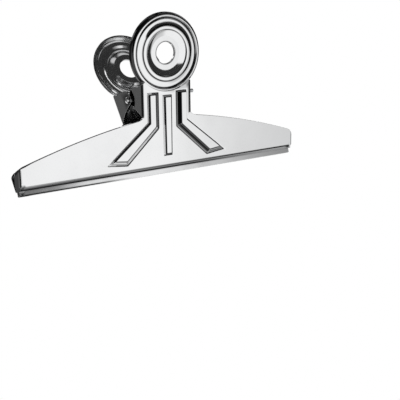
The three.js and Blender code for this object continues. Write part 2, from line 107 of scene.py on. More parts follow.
def rounded(corners, closed=False, steps=6):
    """Rounds the corners of a line. Each corner is (x, y, radius)."""
    points = []
    count = len(corners)
    for i, (x, y, radius) in enumerate(corners):
        corner = np.array([x, y], float)
        is_end = not closed and i in (0, count - 1)
        if is_end or radius <= 0:
            points.append(corner)
            continue
        to_before = np.array(corners[i - 1][:2]) - corner
        to_after = np.array(corners[(i + 1) % count][:2]) - corner
        room = 0.49 * min(np.linalg.norm(to_before), np.linalg.norm(to_after))
        to_before /= np.linalg.norm(to_before)
        to_after /= np.linalg.norm(to_after)
        half_angle = math.acos(np.clip(np.dot(to_before, to_after), -1, 1)) / 2
        cut = min(radius / math.tan(half_angle), room)
        used = cut * math.tan(half_angle)
        middle = to_before + to_after
        centre = corner + middle / np.linalg.norm(middle) * used / math.sin(half_angle)
        start = corner + to_before * cut - centre
        end = corner + to_after * cut - centre
        sweep = math.atan2(start[0] * end[1] - start[1] * end[0], np.dot(start, end))
        for k in range(steps + 1):
            turn = sweep * k / steps
            points.append(centre + np.array([
                start[0] * math.cos(turn) - start[1] * math.sin(turn),
                start[0] * math.sin(turn) + start[1] * math.cos(turn),
            ]))
    return points


def curved(start, pull, end, steps=10):
    """Points of a bent line that leaves start towards pull and arrives at end."""
    shares = np.linspace(0, 1, steps + 1)[:, None]
    start, pull, end = np.array(start), np.array(pull), np.array(end)
    return list((1 - shares) ** 2 * start + 2 * shares * (1 - shares) * pull + shares ** 2 * end)


def refined(points, step, closed=False):
    """The same line with no stretch longer than step."""
    result = []
    last = len(points) if closed else len(points) - 1
    for i in range(last):
        a, b = np.array(points[i]), np.array(points[(i + 1) % len(points)])
        pieces = max(1, math.ceil(np.linalg.norm(b - a) / step))
        for k in range(pieces):
            result.append(a + (b - a) * k / pieces)
    if not closed:
        result.append(np.array(points[-1]))
    return result


def arch_height(x):
    """Top edge of the plate: a circle through its end, its bulge and its shoulder."""
    run = half_jaw - half_neck
    rise = shoulder_height - arch_end_height
    chord = math.hypot(run, rise)
    radius = (chord * chord / 4 + arch_bulge * arch_bulge) / (2 * arch_bulge)
    from_chord = radius - arch_bulge
    centre_x = (half_jaw + half_neck) / 2 - rise / chord * from_chord
    centre_y = (arch_end_height + shoulder_height) / 2 - run / chord * from_chord
    return centre_y + math.sqrt(radius * radius - (x - centre_x) ** 2)


def from_upright(out, up):
    """Depth behind the outer face and height up the leaf, from out of the middle plane and up."""
    q, h = out - plate_offset, up - lip_drop
    return h * math.sin(lean) - q * math.cos(lean), q * math.sin(lean) + h * math.cos(lean)


def unfolded(depth, bend, flat):
    """How far out on the flat blank a place lies that ends up at a depth behind the face."""
    if depth < bend:
        return flat + bend * math.acos(1 - depth / bend)
    return flat + bend * math.pi / 2 + depth - bend


pin_u = unfolded(pin_depth, neck_bend, flat_neck)

# the middle line of the step and lip, as straight and round stretches below the plate
lip_bend = 0.9
half_lip_gap = 0.15
lip_band = 2.1
half_strip = 60.8
strip_end = 61.7
step_start = (sheet / 2, 0.315)
step_end = from_upright(half_lip_gap + sheet / 2, lip_band + 0.25)
lip_end = from_upright(half_lip_gap + sheet / 2, 0.0)
step_run = np.array(step_end) - np.array(step_start)
step_turn = math.atan2(step_run[0], -step_run[1])
lip_turn = -lean
cut_one = lip_bend * math.tan(step_turn / 2)
cut_two = lip_bend * math.tan((step_turn - lip_turn) / 2)
lip_stretches = [
    (lip_bend * step_turn, 0.0, step_turn),
    (np.linalg.norm(step_run) - cut_one - cut_two, step_turn, step_turn),
    (lip_bend * (step_turn - lip_turn), step_turn, lip_turn),
    (math.dist(step_end, lip_end) - cut_two, lip_turn, lip_turn),
]
lip_start = step_start[1] + cut_one
lip_joints = np.cumsum([0] + [length for length, _, _ in lip_stretches])
lip_length = lip_joints[-1]
lip_reach = np.linspace(0, lip_length, 600)
lip_angle = np.interp(lip_reach, lip_joints, [0.0, step_turn, step_turn, lip_turn, lip_turn])
lip_step = lip_reach[1]
between = lip_angle[1:] / 2 + lip_angle[:-1] / 2
lip_depth = sheet / 2 + np.concatenate([[0], np.cumsum(np.sin(between) * lip_step)])
lip_height = lip_start - np.concatenate([[0], np.cumsum(np.cos(between) * lip_step)])
strip_stretch = strip_end / half_strip - 1

# the rings of the disc, as height over the face at a distance from its centre; the sheet's inner side
# has a softer groove
ring_radii = [0.0, 4.0, 6.3, 6.6, 8.4, 8.95, 9.4, 9.9, 10.2, 11.6, 11.8, 12.5, 13.05, 13.75, 14.65, 60]
ring_heights = [-0.65, -0.65, -0.65, -0.56, 0.2, 0.6, 0.66, 0.62, 0.52, 0.02, 0.0, 0.0, -0.3, 0.45, 0, 0]
groove = ring_radii.index(13.05)
inner_heights = ring_heights[:groove] + [0.1] + ring_heights[groove + 1:]


def ring_height(radius, heights=ring_heights):
    """A smooth line through the ring heights that never overshoots them."""
    xs, ys = np.array(ring_radii), np.array(heights)
    widths = np.diff(xs)
    slopes = np.diff(ys) / widths
    tangents = np.zeros(len(xs))
    same_way = slopes[:-1] * slopes[1:] > 0
    harmonic = 2 * slopes[:-1] * slopes[1:] / np.where(same_way, slopes[:-1] + slopes[1:], 1)
    tangents[1:-1] = np.where(same_way, harmonic, 0)
    i = np.clip(np.searchsorted(xs, radius) - 1, 0, len(widths) - 1)
    t = np.clip((radius - xs[i]) / widths[i], 0, 1)
    return (
        (2 * t ** 3 - 3 * t ** 2 + 1) * ys[i] + (t ** 3 - 2 * t ** 2 + t) * widths[i] * tangents[i]
        + (3 * t ** 2 - 2 * t ** 3) * ys[i + 1] + (t ** 3 - t ** 2) * widths[i] * tangents[i + 1]
    )


# a rib's edges in order: a point on each, the way into the rib, and how far its wall runs in
rib_height = 1.05
middle_share = 0.7
middle_reach = 2.5
corner_softness = 0.1
side_rib = {
    "inner": ((4.25, 20), (1, 0), 1.65),
    "inner leg": ((4.25, 14.6), (0.668, 0.744), 1.8),
    "foot": ((18.3, 2.0), (-0.118, 0.993), 1.7),
    "outer leg": ((8.4, 16.84), (-0.623, -0.782), 0.25),
    "outer": ((8.4, 20), (-1, 0), 0.25),
    "top": ((6, 27.9), (0, -1), 0.5),
}
middle_rib = {
    "left": ((-1.6, 15), (1, 0.008), 0.5),
    "foot": ((0, 3.9), (0, 1), 0.6),
    "right": ((1.6, 15), (-1, 0.008), 0.5),
    "top": ((0, 26.6), (0, -1), 0.5),
}

# struck lines run round each rib just outside its foot, and round the disc; painted shade darkens them,
# standing in for their dark reflections
line_depth = 0.2
line_middle = 0.17
line_width = 0.2
top_line_middle = 0.12
top_line_width = 0.17
ring_lines = [(4.2, 0.1), (8.8, 0.16), (10.5, 0.34), (13.1, 0.36)]


def into(edge, u, v):
    """How far inside an edge of a rib a place lies, as a share of its wall."""
    (x, y), (nx, ny), run = edge
    return ((u - x) * nx + (v - y) * ny) / run


def soft_least(shares):
    """The least of the shares, with soft corners."""
    total = sum(np.exp(-np.clip(share, -9, 9) / corner_softness) for share in shares)
    return -corner_softness * np.log(total)


def rib_rise(u, v):
    """How far the three ribs stand over the face."""
    away = np.abs(u)
    side = {name: into(edge, away, v) for name, edge in side_rib.items()}
    outside = -soft_least([-side["outer leg"], -side["outer"]])
    share = soft_least([side["inner"], side["inner leg"], side["foot"], side["top"], outside])
    middle = soft_least([into(edge, u, v) for edge in middle_rib.values()])
    return rib_height * (smooth(share) + middle_share * smooth(middle)) - line_depth * rib_line(u, v)


def from_level(rib, away, v, level):
    """How far inside a level of a rib's walls a place lies, in millimetres."""
    edges = {name: (into(edge, away, v) - level) * edge[2] for name, edge in rib.items()}
    if "outer" in edges:
        edges["outer"] = -soft_least([-edges.pop("outer leg"), -edges["outer"]])
    return soft_least(edges.values())


def rib_line(u, v, level=0.0, middle=line_middle, width=line_width):
    """Share of a line that runs round the ribs, some way outside a level of their walls."""
    lines = []
    for rib, away in ((side_rib, np.abs(u)), (middle_rib, u)):
        lines.append(np.exp(-((from_level(rib, away, v, level) + middle) / width) ** 2))
    return np.maximum(*lines)


def pressed(u, v):
    """Height of the pressed rings and ribs over the face."""
    return ring_height(np.hypot(u, v - disc_height)) + rib_rise(u, v)


def rib_painted_shade(u, v):
    """Painted shade on the ribs: dark steep walls, and dark lines round foot and top, but not on the lit
    side.
    """
    small = 0.02
    steep = np.hypot(
        pressed(u + small, v) - pressed(u - small, v), pressed(u, v + small) - pressed(u, v - small),
    ) / (2 * small)
    height = rib_rise(u, v) / rib_height
    found = np.where(np.abs(v - 14) < 15, smooth((steep - 1.0) / 0.5) * smooth((height - 0.08) / 0.1), 0)

    left, on_side, on_middle = u < 0, np.abs(u) > middle_reach, np.abs(u) < middle_reach
    side = {name: into(edge, np.abs(u), v) for name, edge in side_rib.items()}
    middle = {name: into(edge, u, v) for name, edge in middle_rib.items()}
    outside = np.maximum(side["outer"], side["outer leg"]) * 0.25
    lit = left & on_side & (outside < np.minimum(side["inner"], side["inner leg"]))
    lit |= left & on_middle & (middle["left"] < np.minimum(middle["foot"], middle["top"]))
    foot_line = smooth((rib_line(u, v) - 0.3) / 0.4)
    foot_line = np.where(left & on_side, foot_line * smooth(outside / 0.2 + 1), foot_line)
    found = np.maximum(found, np.where(lit, 0, foot_line))
    top_line = rib_line(u, v, 1.0, top_line_middle, top_line_width)
    found = np.maximum(found, smooth((top_line - 0.3) / 0.4))

    # painted shade on the inner walls of the side ribs where they are upright, and on the right one's leg
    # too
    right_leg = np.where(u > 0, 0.93, 0)
    for name, other, share in (("inner", "inner leg", 1.0), ("inner leg", "inner", right_leg)):
        wall = smooth(side[name] / 0.15) * smooth((1.05 - side[name]) / 0.15)
        least = np.minimum.reduce([side[other], side["foot"], side["top"], outside * 4])
        wall = wall * smooth((least - side[name]) / 0.1 + 0.5)
        found = np.maximum(found, wall * share)
    return found


def disc_painted_shade(u, v):
    """Painted shade on the disc: dark lines at its struck lines, and a dark rolled edge, standing in for
    their dark reflections.
    """
    radius = np.hypot(u, v - disc_height)
    rolled_edge = (radius > crest_radius + 0.42) & (radius < past_disc)
    rolled_edge &= (v > notch_height) | (np.abs(u) < flat_neck)
    rolled_edge &= np.arctan2(np.abs(u), disc_height - v) > notch_angle
    found = np.where(rolled_edge, 0.92, 0)
    for ring, half_width in ring_lines:
        found = np.maximum(found, smooth(1.6 - 1.3 * np.abs(radius - ring) / half_width))
    return found


def neck_painted_shade(u, v):
    """Painted shade on the neck: dark bends, a dark recess round the pin, and a dark ring round the pin's
    head.
    """
    away = np.abs(u)
    on_neck = (away > flat_neck - 0.5) & (v > flange_foot) & (v < flange_top)
    on_flange = on_neck & (away > flat_neck)
    bend = (away - flat_neck) / neck_bend
    start = np.where(u < 0, 0.3, -0.3)
    bends = np.where(on_neck, smooth((bend - start) / 0.2) * smooth((1.5 - bend) / 0.2), 0)
    from_pin = np.hypot(away - pin_u, v - pin_height)
    near_pin = np.where(u < 0, smooth((recess_reach - from_pin) / 0.4), smooth((1.85 - from_pin) / 0.2))
    return np.maximum(bends, np.where(on_flange, near_pin, 0))


def lip_painted_shade(u, v):
    """Painted shade on the step and lip: half on the step's upper half, full in its lower bend and at the
    edge.
    """
    reach = lip_start - v
    bend_one, straight, bend_two = lip_joints[1:4]
    upper = 0.68 * smooth((reach - bend_one + 0.1) / 0.3) * (1 - smooth((reach - straight) / 0.3))
    lower = smooth((reach - 0.65 * straight) / 0.3) * (1 - smooth((reach - bend_two + 0.15) / 0.25))
    edge = smooth((reach - lip_length + 0.75) / 0.25) * smooth((-12 - u) / 20)
    fading = 1 - 0.5 * smooth((u - 10) / 45)
    found = np.maximum.reduce([upper * fading, lower * fading, edge])
    return np.where(np.abs(u) < half_strip, found, 0)


def end_painted_shade(u, v, wide_side):
    """Painted shade on the deep part of the wide roll, and on the lip's corner beside it."""
    reach = lip_start - v
    past_flat = u * wide_side - wide_flat
    rolled = 0.93 * smooth((past_flat - 2.0) / 0.5)
    corner = 0.8 * smooth(past_flat / 0.5) * (1 - smooth((reach - 1.4) / 0.6))
    return np.where((np.abs(u) < half_strip) & (reach > 0), corner, rolled)


def painted_shade(u, v, wide_side):
    """Share of painted shade on the outer face, standing in for dark reflections and shade: struck lines,
    steep walls and places in the lee of a rib.
    """
    return np.maximum.reduce([
        rib_painted_shade(u, v), disc_painted_shade(u, v), neck_painted_shade(u, v), lip_painted_shade(u, v), end_painted_shade(u, v, wide_side),
    ])


def folded(u, v, w, wide_side):
    """Where a place on the blank, w over its face, ends up on the finished leaf."""
    x, y, z = u, v, pressed(u, v) + w
    radius = np.hypot(u, v - disc_height)
    z += np.where(w < -sheet / 2, ring_height(radius, inner_heights) - ring_height(radius), 0)
    away = np.abs(u)
    side = np.where(u < 0, -1.0, 1.0)

    # the step and the lip under the plate
    lip = (away < half_strip + 0.05) & (v < lip_start)
    reach = np.clip(lip_start - v, 0, None)
    angle = np.interp(reach, lip_reach, lip_angle)
    over = w + sheet / 2
    past = np.clip(reach - lip_length, 0, None)
    lip_y = np.interp(reach, lip_reach, lip_height) - over * np.sin(angle) - past * math.cos(lean)
    lip_z = over * np.cos(angle) - np.interp(reach, lip_reach, lip_depth) + past * math.sin(lean)
    x = np.where(lip, u * (1 + strip_stretch * smooth(reach)), x)
    y = np.where(lip, lip_y, y)
    z = np.where(lip, lip_z, z)

    # the end walls, whose roll fades out down the step, so that the lip stays straight
    roll = np.where(u * wide_side > 0, wide_roll, tight_roll)
    flat_end = half_jaw - roll
    wall = away > flat_end
    turn = np.clip((away - flat_end) / roll, 0, math.pi / 2)
    beyond = np.clip(away - flat_end - roll * math.pi / 2, 0, None)
    wall_x = flat_end + (roll + w) * np.sin(turn)
    wall_z = -roll + (roll + w) * np.cos(turn) - beyond
    fade = 1 - smooth(reach / 1.8)
    x = np.where(wall & lip, x + side * (wall_x - away) * fade, x)
    z = np.where(wall & lip, z + (wall_z - w) * fade, z)
    x = np.where(wall & ~lip, side * wall_x, x)
    z = np.where(wall & ~lip, wall_z, z)

    # the flanges, of which the left one is pressed inwards round the pin
    flange = (away > flat_neck) & (v > flange_foot - 0.12) & (v < notch_height)
    turn = np.clip((away - flat_neck) / neck_bend, 0, math.pi / 2)
    beyond = np.clip(away - flat_neck - neck_bend * math.pi / 2, 0, None)
    from_pin = np.hypot(neck_bend + beyond - pin_depth, v - pin_height)
    recess = np.where(u < 0, recess_depth * smooth((recess_reach - from_pin) / 0.75), 0)
    over = w - recess
    x = np.where(flange, side * (flat_neck + (neck_bend + over) * np.sin(turn)), x)
    z = np.where(flange, -neck_bend + (neck_bend + over) * np.cos(turn) - beyond, z)

    # the rolled edge and rim of the disc, which starts where the disc leaves the neck
    around = np.arctan2(away, disc_height - v)
    rim = (radius > crest_radius) & (around > notch_angle) & ((v > notch_height) | (away < flat_neck))
    rim &= radius < past_disc
    roll_out, roll_down = disc_radius - crest_radius, 1.45
    roll_length = math.pi / 4 * (roll_out + roll_down)
    total = roll_length + rim_depth - (roll_down - crest_height)
    reach = (radius - crest_radius) / rim_blank * total
    turn = np.clip(reach / roll_length, 0, 1) * math.pi / 2
    beyond = np.clip(reach - roll_length, 0, None)
    rim_r = crest_radius + (roll_out + w) * np.sin(turn)
    rim_z = crest_height - roll_down + (roll_down + w) * np.cos(turn) - beyond
    share = np.where(rim, smooth((around - notch_angle) / math.radians(9)), 0)
    scale = (radius + (rim_r - radius) * share) / np.maximum(radius, 1e-6)
    x = np.where(rim, u * scale, x)
    y = np.where(rim, disc_height + (v - disc_height) * scale, y)
    z = np.where(rim, z + (rim_z - z) * share, z)
    return np.stack([x, y, z], 1)


def flange_point(depth, height):
    """A place on a flange as it lies on the blank, beyond the neck's bend."""
    return np.array([unfolded(max(depth, 0.0), neck_bend, flat_neck), height])


def end_corners(roll, drop):
    """Corners of the cut edge round an end wall, from the strip up to the arch: (x, y, radius)."""
    def at_depth(depth):
        return unfolded(depth, roll, half_jaw - roll)

    low, back = from_upright(1.46, 1.8), from_upright(0.15, 1.8)
    if roll == wide_roll:
        lower = [(half_strip + 0.3, lip_start - 0.3, 0), (at_depth(low[0]), low[1] + 0.1, 0.4)]
        top = [(at_depth(2.6), 3.0, 2.0), (61.0 - drop, arch_height(61) - 0.4 - 1.6 * drop, 2.0)]
    else:
        lower = [
            (half_strip + 0.3, lip_start - 0.6, 0), (at_depth(0.95), lip_start - 0.9, 0.3),
            (at_depth(1.35), low[1] + 0.1, 0.4),
        ]
        top = [(at_depth(2.6), 2.8, 1.0), (63.0, 3.6, 0.8), (61.6, arch_height(61.6) - 0.2, 4.0)]
    return lower + [(at_depth(back[0]), back[1] + 0.1, 0.5)] + top + [
        (arch_end, arch_height(arch_end) - edge_round - drop, 0),
    ]


def half_outline(roll, drop):
    """The cut edge of one half of the flat blank, from the lip's middle round to the disc's top."""
    bottom, strip = lip_start - lip_length + edge_round, half_strip - edge_round
    edge = rounded([(0, bottom, 0), (strip, bottom, 0.3), (strip, lip_start, 0)])
    edge.append((half_strip + 0.1, lip_start + 0.1))
    edge += rounded(end_corners(roll, drop), steps=10)[:-1]

    # the arch, and the shoulder where the neck rises out of the plate
    for x in np.linspace(arch_end, half_neck + shoulder_run, 26):
        edge.append((x, arch_height(x) - edge_round - drop * smooth((x - half_neck - shoulder_run) / 8)))
    edge += curved(
        (half_neck + 2, arch_height(half_neck + 2) - edge_round),
        (half_neck - 0.05, shoulder_height + 0.1), (half_neck - 0.1, flange_foot - 0.2), 6,
    )
    edge += [(flat_neck + 0.05, flange_foot - 0.1), (flat_neck + 0.35, flange_foot + 0.02)]

    # the flange and its ear
    ear_foot, ear_top = pin_height - ear_radius, pin_height + 4.75
    nose = math.radians(25)
    nose_point = (pin_depth + 1.93 * math.cos(nose), pin_height + 1.93 * math.sin(nose))
    ear_back = (pin_depth - 2.5, ear_top - edge_round)
    lower = curved((sheet, flange_foot), (pin_depth * 0.4, ear_foot - 0.75), (pin_depth, ear_foot), 12)
    edge += [flange_point(depth, height + edge_round) for depth, height in lower]
    reach = ear_radius - edge_round
    for k in range(1, 11):
        angle = -math.pi / 2 + (nose + math.pi / 2) * k / 10
        edge.append(flange_point(pin_depth + reach * math.cos(angle), pin_height + reach * math.sin(angle)))
    upper = curved(nose_point, (pin_depth + 1.4, ear_top - 0.6), ear_back, 8)[1:]
    upper += curved(ear_back, (pin_depth * 0.3, ear_top + 0.65), (sheet, flange_top - 0.5), 10)[1:]
    edge += [flange_point(depth, height) for depth, height in upper]
    edge += [(flat_neck + 0.4, flange_top - 0.08), (flat_neck + 0.02, notch_height - 0.02)]

    # the rim grows to its full depth over a few degrees, beside the neck
    start, full = 14.62, crest_radius + rim_blank - edge_round / 1.7
    for angle in np.linspace(notch_angle + 0.012, math.pi, 90):
        share = float(smooth((angle - notch_angle) / math.radians(8)))
        reach = start + (full - start) * share
        edge.append((reach * math.sin(angle), disc_height - reach * math.cos(angle)))
    return [tuple(point) for point in edge]


def blank_outline(wide_side):
    """The cut edge of the flat blank, anticlockwise: its right half, then its left half."""
    if wide_side < 0:
        right, left = half_outline(tight_roll, 0), half_outline(wide_roll, 0)
    else:
        right, left = half_outline(wide_roll, back_drop), half_outline(tight_roll, 0)
    left = [(-x, y) for x, y in left[-2:0:-1]]
    return refined(right + left, 0.6, closed=True)


def inside(polygon, points):
    """Which of the points lie inside a closed line."""
    x, y = points[:, 0], points[:, 1]
    result = np.zeros(len(points), bool)
    for (ax, ay), (bx, by) in zip(polygon, np.roll(polygon, -1, axis=0)):
        if ay != by:
            at = ax + (y - ay) * (bx - ax) / (by - ay)
            result ^= ((ay > y) != (by > y)) & (x < at)
    return result


def distance_to(polygon, points):
    """Least distance from each point to a closed line."""
    least = np.full(len(points), 1e9)
    for a, b in zip(polygon, np.roll(polygon, -1, axis=0)):
        run = b - a
        share = np.clip(((points - a) @ run) / max(run @ run, 1e-12), 0, 1)
        least = np.minimum(least, np.linalg.norm(points - a - share[:, None] * run, axis=1))
    return least


def ring_of(centre, radius, count):
    """Points evenly round a circle."""
    angles = np.linspace(0, 2 * math.pi, count, endpoint=False)
    return np.stack([centre[0] + radius * np.cos(angles), centre[1] + radius * np.sin(angles)], 1)


def level_line(rib, share, beyond, mirrored):
    """The line on which a rib has reached a share of its walls, or a line some way outside it."""
    lines = [
        (nx, ny, nx * x + ny * y + share * run - beyond) for (x, y), (nx, ny), run in rib.values()
    ]
    corners = []
    for i, (a, b, c) in enumerate(lines):
        d, e, f = lines[(i + 1) % len(lines)]
        det = a * e - b * d
        corners.append(((c * e - b * f) / det, (a * f - c * d) / det, 0.45))
    line = np.array(refined(rounded(corners, closed=True, steps=5), 0.55, closed=True))
    if mirrored:
        line[:, 0] = -line[:, 0]
    return line


def level(u, height):
    """Points across the blank at a height."""
    return np.stack([u, np.full(len(u), height)], 1)


def upright(u, heights):
    """Points up the blank at a distance from its middle."""
    return np.stack([np.full(len(heights), u), heights], 1)


def inner_lines(wide_side):
    """Lines of points inside the blank, each closed or open, or None for loose points."""
    lines = []
    for radius in list(np.arange(4.6, 6.6, 0.8)) + list(np.arange(6.6, 13.7, 0.22)) + [crest_radius]:
        lines.append((ring_of((0, disc_height), radius, 168), True))
    for radius in np.arange(13.9, 15.45, 0.14):
        start = notch_angle + (0.03 if radius > 14.5 else -notch_angle)
        angles = np.linspace(start, 2 * math.pi - start, 160, endpoint=radius > 14.5)
        ring = np.stack([radius * np.sin(angles), disc_height - radius * np.cos(angles)], 1)
        lines.append((ring, radius <= 14.5))

    # round the ribs: outside the foot, up the walls, and on both sides of the top's edge
    levels = [(0.0, beyond) for beyond in np.arange(0.12, 0.75, 0.12)]
    levels += [(share, 0.0) for share in (0.0, 0.1, 0.2, 0.32, 0.45, 0.58, 0.7, 0.82, 0.92)]
    levels += [(1.0, beyond) for beyond in (0.36, 0.24, 0.12, 0.0, -0.12, -0.26, -0.45)]
    for share, beyond in levels:
        for rib, mirrored in ((side_rib, False), (side_rib, True), (middle_rib, False)):
            lines.append((level_line(rib, share, beyond, mirrored), True))

    # along the bends of the ends and flanges, round the recess, and along the step and lip
    for side in (-1, 1):
        roll = wide_roll if side == wide_side else tight_roll
        for turn in np.linspace(0, math.pi / 2, 9):
            bend_u = half_jaw - roll + roll * turn
            lines.append((upright(side * bend_u, np.arange(-2.2, 7.0, 0.5)), False))
            heights = np.arange(flange_foot + 0.1, notch_height, 0.5)
            lines.append((upright(side * (flat_neck + neck_bend * turn), heights), False))
    for radius in np.arange(4.0, 5.3, 0.12):
        lines.append((ring_of((-pin_u, pin_height), radius, 72), True))
    lip_rows = [0.0]
    for length, start_turn, end_turn in lip_stretches:
        pieces = 7 if start_turn != end_turn else 5
        lip_rows += [lip_rows[-1] + length * (k + 1) / pieces for k in range(pieces)]
    for reach in lip_rows[:-1]:
        along = np.linspace(-half_strip + 0.25, half_strip - 0.25, 62)
        lines.append((level(along, lip_start - reach), False))
    for height in np.arange(1.4, 19, 2.2):
        lines.append((level(np.arange(-60, 60.1, 2.5), height), None))
    return lines


def blank_mesh(wide_side, with_hook_hole):
    """The blank as triangles that follow its edge, folds, ribs and rings."""
    outline = np.array(blank_outline(wide_side))
    holes = [ring_of((0, disc_height), hole_radius + edge_round, 72)]
    for side in (-1, 1):
        holes.append(ring_of((side * pin_u, pin_height), pin_hole + edge_round, 32))
    if with_hook_hole:
        hook_u = unfolded(hook_depth, neck_bend, flat_neck)
        holes.append(ring_of((hook_u, hook_height), hook_hole + edge_round, 28))

    points = [tuple(p) for p in outline]
    edges = [(i, (i + 1) % len(outline)) for i in range(len(outline))]
    for hole in holes:
        first = len(points)
        points += [tuple(p) for p in hole]
        edges += [(first + i, first + (i + 1) % len(hole)) for i in range(len(hole))]
    for line, closed in inner_lines(wide_side):
        keep = inside(outline, line) & (distance_to(outline, line) > 0.14)
        for hole in holes:
            keep &= ~inside(hole, line) & (distance_to(hole, line) > 0.12)
        numbers = np.full(len(line), -1)
        numbers[keep] = np.arange(len(points), len(points) + keep.sum())
        points += [tuple(p) for p in line[keep]]
        if closed is None:
            continue
        for i in range(len(line) if closed else len(line) - 1):
            a, b = numbers[i], numbers[(i + 1) % len(line)]
            if a >= 0 and b >= 0:
                edges.append((int(a), int(b)))

    # triangles between all these points, without those outside the edge or in a hole
    found = delaunay_2d_cdt([Vector(p) for p in points], edges, [], 0, 1e-5, False)
    flat = np.array([tuple(p) for p in found[0]])
    faces = np.array([f for f in found[2] if len(f) == 3])
    middles = flat[faces].mean(axis=1)
    keep = inside(outline, middles)
    for hole in holes:
        keep &= ~inside(hole, middles)
    faces = faces[keep]
    a, b, c = flat[faces[:, 0]], flat[faces[:, 1]], flat[faces[:, 2]]
    area = (b[:, 0] - a[:, 0]) * (c[:, 1] - a[:, 1]) - (b[:, 1] - a[:, 1]) * (c[:, 0] - a[:, 0])
    faces[area < 0] = faces[area < 0][:, ::-1]
    faces = faces[np.abs(area) > 1e-9]
    used = np.unique(faces)
    renumber = np.full(len(flat), -1)
    renumber[used] = np.arange(len(used))
    return flat[used], renumber[faces]


def unit(vectors):
    return vectors / np.maximum(np.linalg.norm(vectors, axis=1, keepdims=True), 1e-12)


def cut_edge(flat, faces):
    """The sides of triangles that no other shares, their points, and the way out of the sheet there."""
    sides = np.concatenate([faces[:, [0, 1]], faces[:, [1, 2]], faces[:, [2, 0]]])
    known = {(int(a), int(b)) for a, b in sides}
    edge_sides = np.array([(a, b) for a, b in known if (b, a) not in known])
    edge_numbers = np.unique(edge_sides)
    outward = np.zeros((len(flat), 2))
    run = flat[edge_sides[:, 1]] - flat[edge_sides[:, 0]]
    across = unit(np.stack([run[:, 1], -run[:, 0]], 1))
    np.add.at(outward, edge_sides[:, 0], across)
    np.add.at(outward, edge_sides[:, 1], across)
    return edge_sides, edge_numbers, unit(outward[edge_numbers])


def add_object(name, data):
    obj = bpy.data.objects.new(name, data)
    bpy.context.scene.collection.objects.link(obj)
    return obj


def make_leaf(name, is_back):
    """Folds the blank, gives it its thickness and soft edges, and stands it in its place."""
    wide_side = 1 if is_back else -1
    flat, faces = blank_mesh(wide_side, not is_back)
    edge_sides, edge_numbers, outward = cut_edge(flat, faces)
    edge_points = flat[edge_numbers]
    count, edge_count = len(flat), len(edge_numbers)
    small = 1e-3

    def place(points, w):
        height = np.full(len(points), float(w))
        return folded(points[:, 0], points[:, 1], height, wide_side)

    def facing(points, w):
        right = place(points + (small, 0), w) - place(points - (small, 0), w)
        up = place(points + (0, small), w) - place(points - (0, small), w)
        return unit(np.cross(right, up))

    # outer face, inner face, and rows round the cut edge, which is rounded on both sides
    positions = [place(flat, 0), place(flat, -sheet)]
    normals = [facing(flat, 0), -facing(flat, -sheet)]
    number = np.full(count, -1)
    number[edge_numbers] = np.arange(edge_count)
    rows = [edge_numbers]
    row_angles = (30, 60, 90, 90.001, 120, 150)
    for angle in row_angles:
        turn = math.radians(angle)
        share = edge_round * math.sin(turn)
        w = -edge_round * (1 - math.cos(turn))
        if angle > 90:
            w = -sheet + edge_round * (1 + math.cos(turn))
        way = unit(place(edge_points + outward * small, w) - place(edge_points - outward * small, w))
        rows.append(2 * count + (len(rows) - 1) * edge_count + np.arange(edge_count))
        positions.append(place(edge_points + outward * share, w))
        normals.append(facing(edge_points, w) * math.cos(turn) + way * math.sin(turn))
    rows.append(edge_numbers + count)
    polygons = [tuple(f) for f in faces] + [tuple(f[::-1] + count) for f in faces]
    for low, high in zip(rows[:-1], rows[1:]):
        for a, b in edge_sides:
            i, j = number[a], number[b]
            polygons.append((int(low[j]), int(low[i]), int(high[i]), int(high[j])))

    sin, cos = math.sin(lean), math.cos(lean)
    turned = -1.0 if is_back else 1.0

    def stood(p, offset, drop):
        x, y, z = p[:, 0], p[:, 1], p[:, 2]
        out = -y * sin - z * cos - offset
        up = y * cos - z * sin + drop
        return np.stack([turned * x, turned * out, up], 1)

    mesh = bpy.data.meshes.new(name)
    places = stood(np.concatenate(positions), plate_offset, lip_drop)
    mesh.from_pydata((places / 1000).tolist(), [], polygons)
    mesh.shade_smooth()
    mesh.normals_split_custom_set_from_vertices(stood(np.concatenate(normals), 0, 0).tolist())

    # painted shade on the outer face, inside the neck, and on the cut edge at the wide roll
    painted_dark = np.zeros(len(places))
    painted_dark[:count] = painted_shade(flat[:, 0], flat[:, 1], wide_side)
    in_neck = smooth((13 - np.abs(flat[:, 0])) / 2)
    painted_dark[count:2 * count] = (0.25 + 0.65 * in_neck) * smooth((25.5 - flat[:, 1]) / 1.5)
    at_roll = smooth((edge_points[:, 0] * wide_side - wide_flat + 3) / 2)
    painted_dark[2 * count:] = np.tile(0.9 * at_roll, len(row_angles))
    mesh.attributes.new("painted_shade", "FLOAT", "POINT").data.foreach_set("value", painted_dark.astype(np.float32))
    return add_object(name, mesh)


def join(tree, *joins):
    """Links nodes of a tree: each join is a node and its output, then a node and its input."""
    for source, output, target, socket in joins:
        tree.links.new(source.outputs[output], target.inputs[socket])


def new_group(name, kind, *sockets):
    """An empty node group with its input and output. Each socket is its name, way and kind."""
    tree = bpy.data.node_groups.new(name, kind)
    for label, way, value_kind in sockets:
        tree.interface.new_socket(label, in_out=way, socket_type="NodeSocket" + value_kind)
    return tree, tree.nodes.new("NodeGroupInput"), tree.nodes.new("NodeGroupOutput")


def ranged(tree, value, start, end, low, high):
    """A node that goes from low to high while value goes from start to end."""
    node = tree.nodes.new("ShaderNodeMapRange")
    tree.links.new(value, node.inputs["Value"])
    for name, number in (("From Min", start), ("From Max", end), ("To Min", low), ("To Max", high)):
        node.inputs[name].default_value = number
    return node


